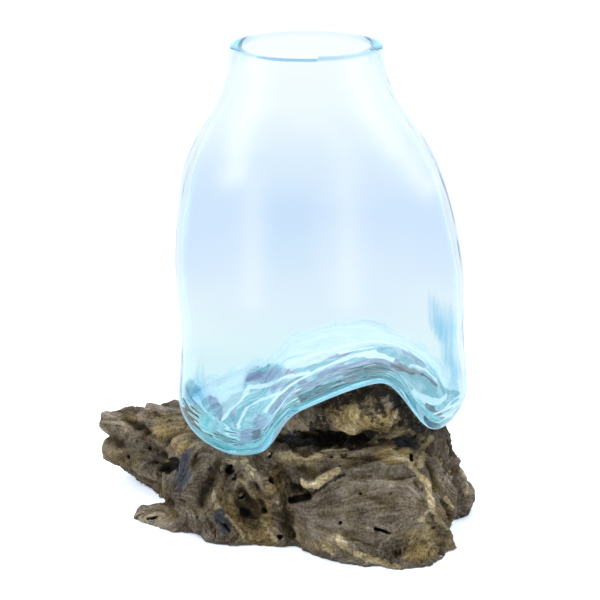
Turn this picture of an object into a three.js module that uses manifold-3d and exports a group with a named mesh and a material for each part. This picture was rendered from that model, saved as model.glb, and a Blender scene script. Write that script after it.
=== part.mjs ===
// A blown glass vase, slumped while hot over a gnarled root so that its floor took the root's shape.
// The vase is one open-mouthed shell that lifts straight off. The root is one piece of wood, sawn flat underneath.
// Millimetres, +Z up, seen from the front along +Y. Everything is built about one point on the table and is moved
// at the end, so that the origin lies on the table under the middle of the whole object.
import * as THREE from "three";
import { ImprovedNoise } from "three/addons/math/ImprovedNoise.js";
import { mergeVertices } from "three/addons/utils/BufferGeometryUtils.js";
import Module from "manifold-3d";

const wasm = await Module();
wasm.setup();

// Driving dimensions of the glass

const rimHeight = 259;
const rimHalfWidth = 39;
const neckHeight = 243;
const neckHalfWidth = 41.5;
const throatHeight = 229;
const throatHalfWidth = 47;
const shoulderHeight = 208;
const shoulderHalfWidth = 60.3;
const chestHeight = 186;
const chestHalfWidth = 69.2;
const bellyHeight = 145;
const bellyHalfWidth = 76;
const waistHeight = 102;
const waistHalfWidth = 75.7;
const hipHeight = 70;
const hipHalfWidth = 78;
const bodyDepthRatio = 0.88; // the body is a little flatter from front to back than it is wide
const rimCentre = [13.8, 2]; // the neck leans to the left of the body
const bodyCentre = [22.8, 4];
const rimWall = 6.5;
const bodyWall = 4.2;
const floorWall = 5.2;
const rimRounding = 1.4;
const cornerReach = 19; // how far in from the wall the bottom edge starts to round
const lobeFloor = 46.5; // underside of the lowest lobe above the table

// Driving dimensions of the saddle that the hot floor sagged over

const saddleRise = 45.6; // crest of the saddle above the lowest lobe
const rightLobeRise = 7.2; // the right lobe hangs less low than the left one
const crestX = 53.8;
const crestFrontY = -56;
const leftFlank = 83; // from the crest down to the left lobe
const lobeStep = 0.33; // share of the rise that the left lobe's steep side makes
const lobeStepX = -0.5;
const lobeStepWidth = 14;
const rightFlankFront = 23; // the right side falls steeply at the front
const rightFlankBack = 46; // and spreads out towards the back
const flankSpread = 80; // distance over which it spreads
const crestFallStart = 0; // behind this the crest runs downhill
const crestFallLength = 75;
const crestFallShare = 0.42;
const sagRadius = 6; // hot glass can't follow anything sharper
const drapeHeight = 92; // the walls are pulled up with the floor over this height
const seatClearance = 0.3; // between the glass and the wood that it sits on

// Driving dimensions of the root

const rootLength = 207; // along X, from arm tip to right lobe
const rootDepth = 145;
const seatMargin = 9; // how far the raw root stood into the hot glass
const barkSwell = 4.5; // slow swellings of the surface
const barkSwellPitch = 26;
const barkKnurl = 3.5; // smaller knurls on top of them
const barkKnurlPitch = 15;

// Facets

const aroundVase = 56;
const floorRows = 9;
const cornerRows = 6;
const wallRows = 12;
const limbFacet = 7.8; // about how wide the facets of a limb are
const furrowFacet = 5.5;
const aroundHollow = 16;
const hollowRows = 10;

const noise = new ImprovedNoise();
const mix = THREE.MathUtils.lerp;
const ease = THREE.MathUtils.smoothstep;

// The outer profile is a smooth line through these heights and half widths.
const profile = new THREE.SplineCurve([
  new THREE.Vector2(hipHalfWidth, hipHeight),
  new THREE.Vector2(waistHalfWidth, waistHeight),
  new THREE.Vector2(bellyHalfWidth, bellyHeight),
  new THREE.Vector2(chestHalfWidth, chestHeight),
  new THREE.Vector2(shoulderHalfWidth, shoulderHeight),
  new THREE.Vector2(throatHalfWidth, throatHeight),
  new THREE.Vector2(neckHalfWidth, neckHeight),
  new THREE.Vector2(rimHalfWidth, rimHeight),
]);

// How much of the rise is left on the long left flank. Its foot has one steeper step, beside the left lobe.
function leftShare(x) {
  const u = THREE.MathUtils.clamp((x - crestX) / leftFlank + 1, 0, 1);
  const slope = Math.pow(Math.sin((u * Math.PI) / 2), 1.6);
  const step = ease(x, lobeStepX - lobeStepWidth / 2, lobeStepX + lobeStepWidth / 2);
  return lobeStep * step + (1 - lobeStep) * slope;
}

// The same for the short right flank, where t goes from 0 at the crest to 1 at its foot.
function rightShare(t) {
  return t >= 1 ? 0 : Math.pow(1 - Math.pow(t, 1.5), 1.25);
}

function rawSaddle(x, y) {
  const back = ease(y, crestFrontY, crestFrontY + flankSpread);
  const right = mix(rightFlankFront, rightFlankBack, back);
  const across = x - crestX;
  const share = across < 0 ? leftShare(x) : rightShare(across / right);
  const fall = ease(y, crestFallStart, crestFallStart + crestFallLength);
  const foot = across < 0 ? 0 : rightLobeRise * (1 - share);
  return saddleRise * share * (1 - crestFallShare * fall) + foot;
}

// The saddle as the glass took it: averaged over a small disc, because hot glass rounds every corner.
function saddle(x, y) {
  let sum = rawSaddle(x, y);
  let count = 1;
  for (const ring of [0.5, 1]) {
    for (let i = 0; i < 8; i++) {
      const a = (i * Math.PI) / 4 + ring;
      sum += rawSaddle(
        x + ring * sagRadius * Math.cos(a),
        y + ring * sagRadius * Math.sin(a),
      );
      count++;
    }
  }
  return sum / count;
}

// One row of the vase before it was draped: its height, its half width and how far up the leaning axis it is.
function vaseRow(row) {
  if (row <= floorRows) {
    const reach = (hipHalfWidth - cornerReach) * (row / floorRows);
    return { z: lobeFloor, half: reach };
  }
  const turn = (row - floorRows) / cornerRows;
  if (turn <= 1) {
    const a = (turn * Math.PI) / 2;
    return {
      z: hipHeight - (hipHeight - lobeFloor) * Math.cos(a),
      half: hipHalfWidth - cornerReach * (1 - Math.sin(a)),
    };
  }
  const p = profile.getPoint((row - floorRows - cornerRows) / wallRows);
  return { z: p.y, half: p.x };
}

const lastRow = floorRows + cornerRows + wallRows;

// A point of the outer surface. With liftWay, the rows above the hip don't narrow, so that the shape can be lifted out.
function outerPoint(row, around, liftWay) {
  const { z, half } = vaseRow(row);
  const up = ease(z, hipHeight, rimHeight);
  const wide = liftWay && row > floorRows + cornerRows ? hipHalfWidth : half;
  const deep = wide * mix(bodyDepthRatio, 1, liftWay ? 0 : up * up);
  const lean = liftWay ? 0 : Math.pow(up, 1.25);
  const x = mix(bodyCentre[0], rimCentre[0], lean) + wide * Math.cos(around);
  const y = mix(bodyCentre[1], rimCentre[1], lean) + deep * Math.sin(around);
  const pulled = 1 - ease(z, lobeFloor, lobeFloor + drapeHeight);
  return new THREE.Vector3(x, y, z + saddle(x, y) * pulled);
}

// The outward normal, from the surface a small step along each way. The floor's centre takes the step off the pole.
function outerNormal(row, around, liftWay) {
  const step = 0.2;
  const r = Math.max(row, step);
  const r0 = Math.max(r - step, 0.01);
  const r1 = Math.min(r + step, lastRow);
  const along = outerPoint(r1, around, liftWay).sub(outerPoint(r0, around, liftWay));
  const round = outerPoint(r, around + 0.02, liftWay).sub(
    outerPoint(r, around - 0.02, liftWay),
  );
  return round.cross(along).normalize();
}

function wallAt(row) {
  const { z } = vaseRow(row);
  const floorShare = 1 - ease(z, lobeFloor, waistHeight);
  const rimShare = ease(z, shoulderHeight, rimHeight);
  return bodyWall + (floorWall - bodyWall) * floorShare + (rimWall - bodyWall) * rimShare;
}

// The outer surface moved along its normal: outwards for a positive distance, inwards for a negative one.
function offsetPoint(row, around, distance, liftWay) {
  const p = outerPoint(row, around, liftWay);
  if (row < 0.5) return p.add(new THREE.Vector3(0, 0, -distance));
  const n = outerNormal(row, around, liftWay);
  if (row > lastRow - 0.5) n.setZ(0).normalize();
  return p.addScaledVector(n, distance);
}

// A closed surface from rings of points: the first and last ring are single points.
function skin(rings) {
  const positions = [];
  const index = [];
  const starts = [];
  for (const ring of rings) {
    starts.push(positions.length / 3);
    for (const p of ring) positions.push(p.x, p.y, p.z);
  }
  for (let i = 0; i + 1 < rings.length; i++) {
    const a = rings[i];
    const b = rings[i + 1];
    const count = Math.max(a.length, b.length);
    for (let j = 0; j < count; j++) {
      const next = (j + 1) % count;
      const a0 = starts[i] + (a.length > 1 ? j : 0);
      const a1 = starts[i] + (a.length > 1 ? next : 0);
      const b0 = starts[i + 1] + (b.length > 1 ? j : 0);
      const b1 = starts[i + 1] + (b.length > 1 ? next : 0);
      if (a0 !== a1) index.push(a0, b0, a1);
      if (b0 !== b1) index.push(a1, b0, b1);
    }
  }
  const geometry = new THREE.BufferGeometry();
  geometry.setAttribute("position", new THREE.Float32BufferAttribute(positions, 3));
  geometry.setIndex(index);
  return geometry;
}

function ringOf(pointAt) {
  return Array.from({ length: aroundVase }, (_, j) => pointAt((-j * 2 * Math.PI) / aroundVase));
}

// The vase: its outer surface from the floor's centre up to the rim, over the rounded lip, and down inside again.
function vaseGeometry() {
  const outer = (row) => ringOf((a) => offsetPoint(row, a, 0, false));
  const inner = (row) => ringOf((a) => offsetPoint(row, a, -wallAt(row), false));
  const lip = (inset, drop) =>
    ringOf((a) => offsetPoint(lastRow, a, -inset, false).setZ(rimHeight - drop));
  const rings = [[offsetPoint(0, 0, 0, false)]];
  for (let row = 1; row < lastRow; row++) rings.push(outer(row));
  rings.push(lip(0, rimRounding));
  rings.push(lip(rimRounding * 0.4, rimRounding * 0.3));
  rings.push(lip(rimWall / 2, 0));
  rings.push(lip(rimWall - rimRounding * 0.4, rimRounding * 0.3));
  rings.push(lip(rimWall, rimRounding));
  for (let row = lastRow - 1; row > 0; row--) rings.push(inner(row));
  rings.push([offsetPoint(0, 0, -wallAt(0), false)]);
  return skin(rings);
}

// What the wood must leave free: the underside of the vase with its clearance, carried straight up past the wood.
function seatGeometry() {
  const rings = [[offsetPoint(0, 0, seatClearance, true)]];
  for (let row = 1; row <= lastRow; row++) {
    rings.push(ringOf((a) => offsetPoint(row, a, seatClearance, true)));
  }
  rings.push([new THREE.Vector3(bodyCentre[0], bodyCentre[1], rimHeight)]);
  return skin(rings);
}

// Surface swellings of weathered root wood, from noise at two sizes.
function bark(p) {
  const slow = noise.noise(p.x / barkSwellPitch, p.y / barkSwellPitch, p.z / barkSwellPitch);
  const fine = noise.noise(p.x / barkKnurlPitch, p.y / barkKnurlPitch, p.z / barkKnurlPitch + 7);
  return barkSwell * slow + barkKnurl * fine;
}

// A root limb, lofted along a smooth line through its stations. A station is x, y, z, half width, half height.
// Flutes run along it as on a real root, and its ends are rounded over. Where the bark is worn, it is smoother.
function limbGeometry({ stations, flutes = 0, fluteDepth = 0, twist = 0, worn = 1, facet = limbFacet }) {
  const path = new THREE.CatmullRomCurve3(
    stations.map(([x, y, z]) => new THREE.Vector3(x * rootStretchX, y * rootStretchY, z)),
  );
  const girth = new THREE.CatmullRomCurve3(
    stations.map(([, , , wide, high]) => new THREE.Vector3(wide, high, 0)),
  );
  const whole = path.getPoint(1).sub(path.getPoint(0)).normalize();
  const upward = Math.abs(whole.z) > 0.8 ? new THREE.Vector3(0, 1, 0) : new THREE.Vector3(0, 0, 1);
  const widest = Math.max(...stations.map(([, , , wide, high]) => (wide + high) / 2));
  const around = Math.max(6, Math.round((widest * 2 * Math.PI) / facet));
  const steps = Math.max(3, Math.round(path.getLength() / facet));
  const ringAt = (t, shrink) => {
    const centre = path.getPoint(t);
    const { x: wide, y: high } = girth.getPoint(t);
    const ahead = path.getTangent(t);
    const side = new THREE.Vector3().crossVectors(ahead, upward).normalize();
    const over = new THREE.Vector3().crossVectors(side, ahead).normalize();
    return Array.from({ length: around }, (_, j) => {
      const a = (j * 2 * Math.PI) / around;
      const flute = 1 + fluteDepth * Math.cos(flutes * a + twist * t);
      const out = new THREE.Vector3()
        .addScaledVector(side, Math.cos(a) * wide)
        .addScaledVector(over, Math.sin(a) * high);
      const p = centre.clone().addScaledVector(out, shrink * flute);
      return p.addScaledVector(out.normalize(), bark(p) * shrink * worn);
    });
  };
  const cap = (t, sign) => {
    const { x: wide, y: high } = girth.getPoint(t);
    const reach = Math.min(wide, high) * 0.7;
    return path.getPoint(t).addScaledVector(path.getTangent(t), sign * reach);
  };
  const rings = [[cap(0, -1)]];
  const shoulders = [
    [0.42, 0.9],
    [0.72, 0.68],
    [0.92, 0.35],
  ];
  for (const [shrink, out] of shoulders) {
    const shift = cap(0, -1).sub(path.getPoint(0)).multiplyScalar(out);
    rings.push(ringAt(0, shrink).map((p) => p.add(shift)));
  }
  for (let i = 0; i <= steps; i++) rings.push(ringAt(i / steps, 1));
  for (const [shrink, out] of shoulders.reverse()) {
    const shift = cap(1, 1).sub(path.getPoint(1)).multiplyScalar(out);
    rings.push(ringAt(1, shrink).map((p) => p.add(shift)));
  }
  rings.push([cap(1, 1)]);
  return skin(rings);
}

// The stations and hollows below are drawn for a root of this length and depth.
const drawnLength = 207;
const drawnDepth = 145;
const rootStretchX = rootLength / drawnLength;
const rootStretchY = rootDepth / drawnDepth;
const cradleTop = lobeFloor + seatMargin;
const ridgeTop = lobeFloor + saddleRise + seatMargin;

// The limbs that grew together into this root. Many reach below the table, where the saw cut them off.
const limbs = {
  heart: {
    stations: [
      [-44, 12, 14, 30, 30],
      [-10, 4, 22, 42, 34],
      [36, 2, 26, 44, 34],
      [70, 6, 18, 30, 30],
    ],
    flutes: 5,
    fluteDepth: 0.05,
    twist: 2,
  },
  ridge: {
    stations: [
      [48, -30, ridgeTop - 27, 20, 18],
      [53, -8, ridgeTop - 34, 30, 32],
      [58, 20, ridgeTop - 44, 34, 32],
      [52, 46, ridgeTop - 66, 28, 28],
    ],
    flutes: 4,
    fluteDepth: 0.05,
    twist: 1.5,
  },
  brow: {
    stations: [
      [52, -32, ridgeTop - 25, 18, 16],
      [28, -31, ridgeTop - 29, 16, 12],
      [6, -29, ridgeTop - 34, 14, 9],
      [-8, -26, cradleTop - 4, 12, 9],
    ],
    flutes: 3,
    fluteDepth: 0.1,
    twist: 3,
  },
  ridgeRamp: {
    stations: [
      [44, 8, ridgeTop - 40, 34, 28],
      [18, 14, ridgeTop - 54, 36, 26],
      [-4, 16, cradleTop - 24, 30, 24],
    ],
  },
  backFill: {
    stations: [
      [-26, 30, cradleTop - 26, 16, 24],
      [4, 36, cradleTop - 18, 16, 24],
      [34, 38, cradleTop - 14, 18, 26],
    ],
    flutes: 3,
    fluteDepth: 0.06,
  },
  leftCradle: {
    stations: [
      [-40, 8, cradleTop - 24, 22, 20],
      [-22, -14, cradleTop - 24, 24, 24],
      [-2, -24, cradleTop - 27, 18, 24],
    ],
  },
  rightCradle: {
    stations: [
      [68, -22, cradleTop - 26, 12, 18],
      [78, -8, cradleTop - 16, 13, 22],
      [80, 14, cradleTop - 24, 12, 22],
    ],
    flutes: 3,
    fluteDepth: 0.06,
  },
  frontBlock: {
    stations: [
      [12, -22, 12, 18, 32],
      [32, -34, 14, 29, 38],
      [54, -38, 13, 34, 44],
      [62, -38, 6, 30, 42],
    ],
    flutes: 5,
    fluteDepth: 0.03,
    twist: 1,
    worn: 0.6,
  },
  blockFoot: {
    stations: [
      [44, -46, 2, 20, 16],
      [61, -52, 0, 22, 16],
      [75, -47, 0, 18, 14],
      [86, -43, 0, 9, 9],
    ],
    flutes: 4,
    fluteDepth: 0.06,
    twist: 1,
  },
  frontKnuckle: {
    stations: [
      [-46, -12, 12, 15, 22],
      [-28, -22, 16, 21, 30],
      [-8, -25, 18, 21, 32],
      [8, -24, 16, 20, 32],
    ],
    flutes: 4,
    fluteDepth: 0.08,
    twist: 3,
  },
  leftArm: {
    stations: [
      [-30, 20, 20, 28, 30],
      [-58, 36, 22, 22, 27],
      [-76, 42, 26, 18, 21],
      [-89, 45, 34, 12, 12],
      [-98, 46, 36.5, 7, 6.5],
    ],
    flutes: 5,
    fluteDepth: 0.08,
    twist: 4,
  },
  leftArmUnder: {
    stations: [
      [-58, 32, 12, 20, 18],
      [-80, 40, 19, 15, 15],
      [-96, 43, 20.5, 9, 9],
    ],
    flutes: 4,
    fluteDepth: 0.06,
    twist: 2,
  },
  spur: {
    stations: [
      [-36, -8, 7, 20, 19],
      [-58, -12, 1, 15, 10],
      [-77, -6, 0.5, 5.5, 4],
    ],
    flutes: 4,
    fluteDepth: 0.08,
    twist: 2,
  },
  rightLobe: {
    stations: [
      [54, 4, 20, 22, 26],
      [74, 5, 18, 20, 27],
      [86, 5, 8, 16, 20],
      [94, 1, 3, 14.5, 18],
    ],
    flutes: 5,
    fluteDepth: 0.06,
    twist: 1.5,
  },
  backMass: {
    stations: [
      [-34, 42, 16, 18, 26],
      [0, 52, 26, 17, 34],
      [38, 50, 18, 20, 30],
      [68, 44, 8, 16, 20],
    ],
    flutes: 4,
    fluteDepth: 0.07,
    twist: 2,
  },
};

// Welts that stand proud of the bark, and furrows that are sunk in it, in the same form as the limbs.
const welts = {
  armCrest: {
    stations: [
      [-74, 38, 46, 3, 3],
      [-66, 32, 46, 4, 4],
      [-57, 26, 44, 3, 3],
    ],
  },
  armRidge: {
    stations: [
      [-94, 39, 38, 3, 3],
      [-87, 34, 34, 4, 4],
      [-77, 26, 30, 3, 3],
    ],
  },
  knuckleRim: {
    stations: [
      [-30, -34, 42, 2.4, 2.4],
      [-29, -37, 37, 2.4, 2.4],
      [-24, -38, 37, 2.4, 2.4],
      [-23, -36, 42, 2.4, 2.4],
    ],
  },
  knuckleRidge: {
    stations: [
      [-18, -39, 42, 3, 3],
      [-11, -42, 38, 4.6, 4.6],
      [-4, -42, 32, 4.4, 4.4],
      [0, -43, 21, 3, 3],
    ],
  },
  blockLip: {
    stations: [
      [11, -41, 39, 2.4, 2.4],
      [14, -46, 36, 3.8, 3.8],
      [24, -51, 42, 3.8, 3.8],
      [32, -50, 46, 2.4, 2.4],
    ],
  },
  ledgeLip: {
    stations: [
      [28, -53, 42, 2, 2],
      [42, -53, 48, 3, 3],
      [62, -55, 49, 3, 3],
    ],
  },
  blockCrease: {
    stations: [
      [64, -54, 50, 2.4, 2.4],
      [73, -56, 44, 3.8, 3.8],
      [79, -60, 32, 4.2, 4.2],
      [86, -54, 15, 3.4, 3.4],
    ],
  },
  lobeRidge: {
    stations: [
      [87, -13, 39, 3, 3],
      [95, -5, 28, 4, 4],
      [100, -7, 13, 3, 3],
    ],
  },
};

const furrows = {
  armTop: {
    stations: [
      [-89, 41, 43, 2, 2],
      [-83, 34, 40, 3.4, 3.4],
      [-74, 26, 37, 2, 2],
    ],
  },
  armLow: {
    stations: [
      [-84, 32, 10, 2, 2],
      [-74, 20, 9, 3, 3],
      [-66, 2, 12, 2, 2],
    ],
  },
  knee: {
    stations: [
      [-31, -31, 43, 3, 3],
      [-38, -33, 34, 5.2, 5.2],
      [-43, -37, 21, 3.4, 3.4],
    ],
  },
  pillar: {
    stations: [
      [-1, -41, 47, 2, 2],
      [1, -44, 38, 5.4, 5.4],
      [5, -45, 28, 3.4, 3.4],
    ],
  },
  pillarFoot: {
    stations: [
      [6, -44, 20, 2, 2],
      [3, -45, 13, 3.6, 3.6],
      [7, -47, 3, 2.2, 2.2],
    ],
  },
  ledge: {
    stations: [
      [35, -50, 53, 2.6, 2.6],
      [50, -50, 55, 4, 4],
      [62, -47, 56, 2.6, 2.6],
    ],
  },
  behindCrease: {
    stations: [
      [77, -42, 50, 2.4, 2.4],
      [83, -54, 42, 3.6, 3.6],
      [86, -56, 30, 3.6, 3.6],
      [90, -48, 17, 2.4, 2.4],
    ],
  },
};

// Hollows that rot and fire left in the root: centre, half sizes, and turns about Z and then Y in degrees.
const hollows = {
  cave: { at: [15, -36, lobeFloor + 11], half: [29, 22, 7.5], turn: [2, -3] },
  caveThroat: { at: [32, -32, lobeFloor + 10.5], half: [15, 17, 6], turn: [0, -4] },
  armHole: { at: [-63, 6, 27], half: [7, 12, 4.5], turn: [20, 0] },
  armNotch: { at: [-103, 42, 29], half: [8, 16, 2.6], turn: [0, 22] },
  armDip: { at: [-83, 36, 46], half: [2.6, 18, 5], turn: [-15, 20] },
  knuckleHole: { at: [-26, -34, 40], half: [3, 8, 3.4], turn: [-20, 0] },
  knuckleHollow: { at: [-16, -45, 22], half: [9, 8, 6], turn: [10, 25] },
  frontSlot: { at: [11, -46, 31], half: [6, 11, 3], turn: [20, 12] },
};

function solid(geometry) {
  const plain = geometry.clone();
  plain.deleteAttribute("normal");
  plain.deleteAttribute("uv");
  const merged = mergeVertices(plain, 1e-4);
  return new wasm.Manifold(
    new wasm.Mesh({
      numProp: 3,
      vertProperties: merged.attributes.position.array,
      triVerts: new Uint32Array(merged.index.array),
    }),
  );
}

function hollowGeometry({ at, half, turn }) {
  const geometry = new THREE.SphereGeometry(1, aroundHollow, hollowRows);
  geometry.scale(...half);
  geometry.rotateY(THREE.MathUtils.degToRad(turn[1]));
  geometry.rotateZ(THREE.MathUtils.degToRad(turn[0]));
  geometry.translate(at[0] * rootStretchX, at[1] * rootStretchY, at[2]);
  return geometry;
}

// The sawn underside: everything below the table's plane is cut away.
function underTable() {
  const wide = rootLength * 2;
  const depth = lobeFloor * 2;
  return new THREE.BoxGeometry(wide, wide, depth).translate(0, 0, -depth / 2);
}

function rootGeometry() {
  let root = Object.values(limbs)
    .map((limb) => solid(limbGeometry(limb)))
    .reduce((all, limb) => all.add(limb));
  const line = ({ stations }) => solid(limbGeometry({ stations, worn: 0, facet: furrowFacet }));
  for (const welt of Object.values(welts)) root = root.add(line(welt));
  for (const furrow of Object.values(furrows)) root = root.subtract(line(furrow));
  for (const hollow of Object.values(hollows)) root = root.subtract(solid(hollowGeometry(hollow)));
  root = root.subtract(solid(seatGeometry())).subtract(solid(underTable()));
  // A sliver that a cut has freed falls off: the largest piece is the root.
  const [largest] = root.decompose().sort((a, b) => b.volume() - a.volume());
  const mesh = largest.getMesh();
  const geometry = new THREE.BufferGeometry();
  geometry.setAttribute("position", new THREE.Float32BufferAttribute(mesh.vertProperties, 3));
  geometry.setIndex(new THREE.BufferAttribute(mesh.triVerts, 1));
  return geometry;
}

const glassMaterial = new THREE.MeshStandardMaterial({
  color: 0xbfe9f2,
  roughness: 0.03,
  metalness: 0,
  transparent: true,
  opacity: 0.4,
});
const woodMaterial = new THREE.MeshStandardMaterial({
  color: 0x6b5a45,
  roughness: 0.85,
  metalness: 0,
});

function named(name, geometry, material) {
  const mesh = new THREE.Mesh(geometry, material);
  mesh.name = name;
  return mesh;
}

const object = new THREE.Group();
object.add(named("root_base", rootGeometry(), woodMaterial));
object.add(named("glass_vase", vaseGeometry(), glassMaterial));

// The origin goes on the table under the middle of the whole object.
const middle = new THREE.Box3().setFromObject(object).getCenter(new THREE.Vector3());
for (const mesh of object.children) mesh.geometry.translate(-middle.x, -middle.y, 0);

export default object;
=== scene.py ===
import math

import bpy
import numpy as np
import openvdb as vdb
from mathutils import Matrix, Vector
from mathutils.bvhtree import BVHTree


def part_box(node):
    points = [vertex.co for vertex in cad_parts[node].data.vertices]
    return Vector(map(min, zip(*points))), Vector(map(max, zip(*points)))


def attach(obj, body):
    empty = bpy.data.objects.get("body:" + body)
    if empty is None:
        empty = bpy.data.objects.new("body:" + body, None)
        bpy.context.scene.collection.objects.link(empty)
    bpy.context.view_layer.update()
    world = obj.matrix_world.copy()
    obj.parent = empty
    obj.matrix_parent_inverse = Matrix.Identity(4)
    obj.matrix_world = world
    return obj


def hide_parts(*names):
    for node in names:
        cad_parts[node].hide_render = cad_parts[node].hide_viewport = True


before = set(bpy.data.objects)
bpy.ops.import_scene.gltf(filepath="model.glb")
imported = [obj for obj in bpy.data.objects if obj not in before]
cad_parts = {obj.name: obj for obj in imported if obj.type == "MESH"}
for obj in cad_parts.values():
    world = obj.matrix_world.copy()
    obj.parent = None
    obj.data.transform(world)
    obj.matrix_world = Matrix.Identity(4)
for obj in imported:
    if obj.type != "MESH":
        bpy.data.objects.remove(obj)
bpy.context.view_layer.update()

# Lengths below are in millimetres in the vase maker's own frame. Its origin is a little off the row frame's.
MM = 0.001
hip_half_width = 78.0
body_depth_ratio = 0.88
rim_centre = (13.8, 2.0)
body_centre = (22.8, 4.0)
glass_low, glass_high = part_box("glass_vase")
root_low, root_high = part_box("root_base")
shift_x = glass_high.x / MM - (body_centre[0] + hip_half_width)
shift_y = glass_high.y / MM - (body_centre[1] + hip_half_width * body_depth_ratio)
to_row = np.array([shift_x, shift_y, 0.0])

# The camera, in the same frame
camera_target = np.array([10.5, -8.0, 125.0])
camera_elevation = math.radians(18)
camera_distance = 1050.0
camera_focal = 2000.0
picture_centre = 300.0
view_forward = np.array([0.0, math.cos(camera_elevation), -math.sin(camera_elevation)])
view_up = np.array([0.0, math.sin(camera_elevation), math.cos(camera_elevation)])
camera_place = camera_target - view_forward * camera_distance
far_away = 1e9


def ease(x, low, high):
    t = np.clip((x - low) / (high - low), 0, 1)
    return t * t * (3 - 2 * t)


def within(x, start, full, wane, end):
    """1 between full and wane, falling softly to 0 at start and end."""
    return ease(x, start, full) * (1 - ease(x, wane, end))


def mix(a, b, share):
    return a + (b - a) * share


# Gradient noise

dice = np.random.default_rng(23)
order = np.concatenate([dice.permutation(256)] * 2)
slopes = dice.normal(size=(256, 3))
slopes /= np.linalg.norm(slopes, axis=1)[:, None]


def noise(points):
    """Smooth noise at points (N, 3), about -1 to 1, with bumps about one unit wide."""
    cell = np.floor(points).astype(np.int64)
    inner = points - cell
    fade = inner**3 * (inner * (inner * 6 - 15) + 10)
    total = np.zeros(len(points))
    for corner in np.ndindex(2, 2, 2):
        at = (cell + corner) & 255
        pick = order[order[order[at[:, 0]] + at[:, 1]] + at[:, 2]]
        lean = np.einsum("ij,ij->i", slopes[pick], inner - corner)
        weight = np.prod(np.where(corner, fade, 1 - fade), axis=1)
        total += lean * weight
    return total * 1.6


def rough(points, size, octaves=3, keep=0.5):
    """Noise at several sizes: bumps of that size first, then halved and halved again."""
    total = np.zeros(len(points))
    for k in range(octaves):
        total += keep**k * noise(points * (2.0**k / size) + 17.3 * k)
    return total


def spot_on_view(points):
    """Where points (N, 3) fall in the picture, in its pixels."""
    away = points - camera_place
    depth = away @ view_forward
    across = picture_centre + camera_focal * away[:, 0] / depth
    down = picture_centre - camera_focal * (away @ view_up) / depth
    return across, down


def view_noise(across, down, wide, high, shift):
    """Noise over the picture, with bumps of this width and height in its pixels."""
    return noise(np.stack([across / wide, down / high, across * 0], axis=1) + shift)


def oval(across, down, middle, size, power=2):
    """1 in the middle of an oval in the picture, falling away round it. A higher power makes it squarer."""
    wide = ((across - middle[0]) / size[0]) ** power
    high = ((down - middle[1]) / size[1]) ** power
    return np.exp(-wide - high)


def line_distance(points, line):
    """How far points are from a line of spots. Both are places in space, or both places in the picture."""
    line = np.array(line, float)
    if len(line) == 1:
        return np.linalg.norm(points - line[0], axis=1)
    best = np.full(len(points), far_away)
    for a, b in zip(line[:-1], line[1:]):
        span = b - a
        t = np.clip((points - a) @ span / max(span @ span, 1e-9), 0, 1)
        best = np.minimum(best, np.linalg.norm(points - a - t[:, None] * span, axis=1))
    return best


# The vase's form, the same as its CAD solid

lobe_floor = 46.5
hip_height = 70.0
corner_reach = 19.0
rim_height = 259.0
waist_height = 102.0
shoulder_height = 208.0
body_wall = 4.2
floor_wall = 5.2
rim_wall = 6.5
ridge_across = 53.8
ridge_lift = 45.6
right_lobe_lift = 7.2
lift_reach = 92.0
saddle_softness = 6.0
floor_rows, corner_rows, wall_rows = 9, 6, 12
last_row = floor_rows + corner_rows + wall_rows
# Half width at each height, from the hip to the rim
profile = [(78.0, 70), (75.7, 102), (76.0, 145), (69.2, 186)]
profile += [(60.3, 208), (47.0, 229), (41.5, 243), (39.0, 259)]
profile = np.array(profile)


def raw_saddle(x, y):
    """How far the root lifts the vase's floor: a long climb from the left lobe, then a steep fall."""
    spread = mix(23.0, 46.0, ease(y, -56, 24))
    across = x - ridge_across
    climb = np.clip(across / 83.0 + 1, 0, 1)
    left = 0.33 * ease(x, -7.5, 6.5) + 0.67 * np.sin(climb * math.pi / 2) ** 1.6
    t = np.clip(across / spread, 0, 1)
    right = (1 - t**1.5) ** 1.25
    share = np.where(across < 0, left, right)
    fall = 1 - 0.42 * ease(y, 0, 75)
    return ridge_lift * share * fall + np.where(across < 0, 0, right_lobe_lift * (1 - share))


def saddle(x, y):
    """The lift, softened as a sheet of hot glass would soften it."""
    total = raw_saddle(x, y)
    for ring in (0.5, 1.0):
        for i in range(8):
            a = i * math.pi / 4 + ring
            reach = saddle_softness * ring
            total = total + raw_saddle(x + reach * math.cos(a), y + reach * math.sin(a))
    return total / 17


def vase_row(row):
    """Height and half width of the vase at each row, before it was draped."""
    turn = np.clip((row - floor_rows) / corner_rows, 0, 1) * math.pi / 2
    z = hip_height - (hip_height - lobe_floor) * np.cos(turn)
    reach = hip_half_width - corner_reach
    half = np.where(row <= floor_rows, reach * row / floor_rows, reach + corner_reach * np.sin(turn))
    z = np.where(row <= floor_rows, lobe_floor, z)
    t = np.clip((row - floor_rows - corner_rows) / wall_rows, 0, 1) * (len(profile) - 1)
    k = np.minimum(t.astype(int), len(profile) - 2)
    w = (t - k)[:, None]
    p0, p1 = profile[np.maximum(k - 1, 0)], profile[k]
    p2, p3 = profile[k + 1], profile[np.minimum(k + 2, len(profile) - 1)]
    v0, v1 = (p2 - p0) / 2, (p3 - p1) / 2
    p = (2 * p1 - 2 * p2 + v0 + v1) * w**3 + (-3 * p1 + 3 * p2 - 2 * v0 - v1) * w**2 + v0 * w + p1
    above = row > floor_rows + corner_rows
    return np.where(above, p[:, 1], z), np.where(above, p[:, 0], half)


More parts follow.
